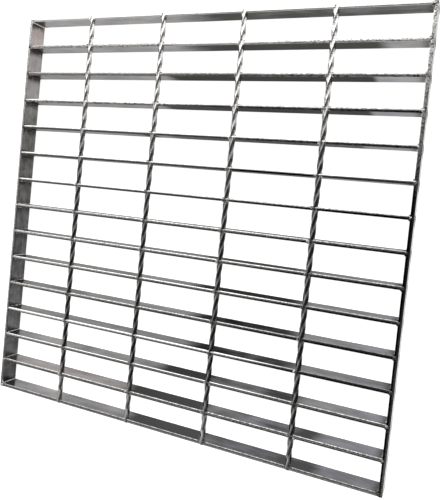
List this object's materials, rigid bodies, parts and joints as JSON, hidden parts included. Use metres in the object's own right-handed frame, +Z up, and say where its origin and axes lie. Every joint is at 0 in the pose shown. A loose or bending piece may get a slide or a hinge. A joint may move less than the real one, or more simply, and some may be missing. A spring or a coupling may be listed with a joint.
{
  "type": "drain grate",
  "caption": "Nearly square panel of welded steel bar grating with twisted cross rods and flat end bands, laid in a frame over a floor drain so that water falls through.",
  "frame": {"origin": "middle of the panel's underside, on the floor", "axes": "+Z up, with the rod face on top; +X along the bearing bars; +Y along the cross rods"},
  "size_m": [0.494, 0.4842, 0.026],
  "materials": {
    "zinc_coated_steel": "zinc coated, semi-gloss, mottled"
  },
  "bodies": {
    "root": {"bearing_bar_01": "zinc_coated_steel", "bearing_bar_02": "zinc_coated_steel", "bearing_bar_03": "zinc_coated_steel", "bearing_bar_04": "zinc_coated_steel", "bearing_bar_05": "zinc_coated_steel", "bearing_bar_06": "zinc_coated_steel", "bearing_bar_07": "zinc_coated_steel", "bearing_bar_08": "zinc_coated_steel", "bearing_bar_09": "zinc_coated_steel", "bearing_bar_10": "zinc_coated_steel", "bearing_bar_11": "zinc_coated_steel", "bearing_bar_12": "zinc_coated_steel", "bearing_bar_13": "zinc_coated_steel", "bearing_bar_14": "zinc_coated_steel", "bearing_bar_15": "zinc_coated_steel", "cross_rod_1": "zinc_coated_steel", "cross_rod_2": "zinc_coated_steel", "cross_rod_3": "zinc_coated_steel", "cross_rod_4": "zinc_coated_steel", "end_band_left": "zinc_coated_steel", "end_band_right": "zinc_coated_steel"}
  },
  "joints": []
}
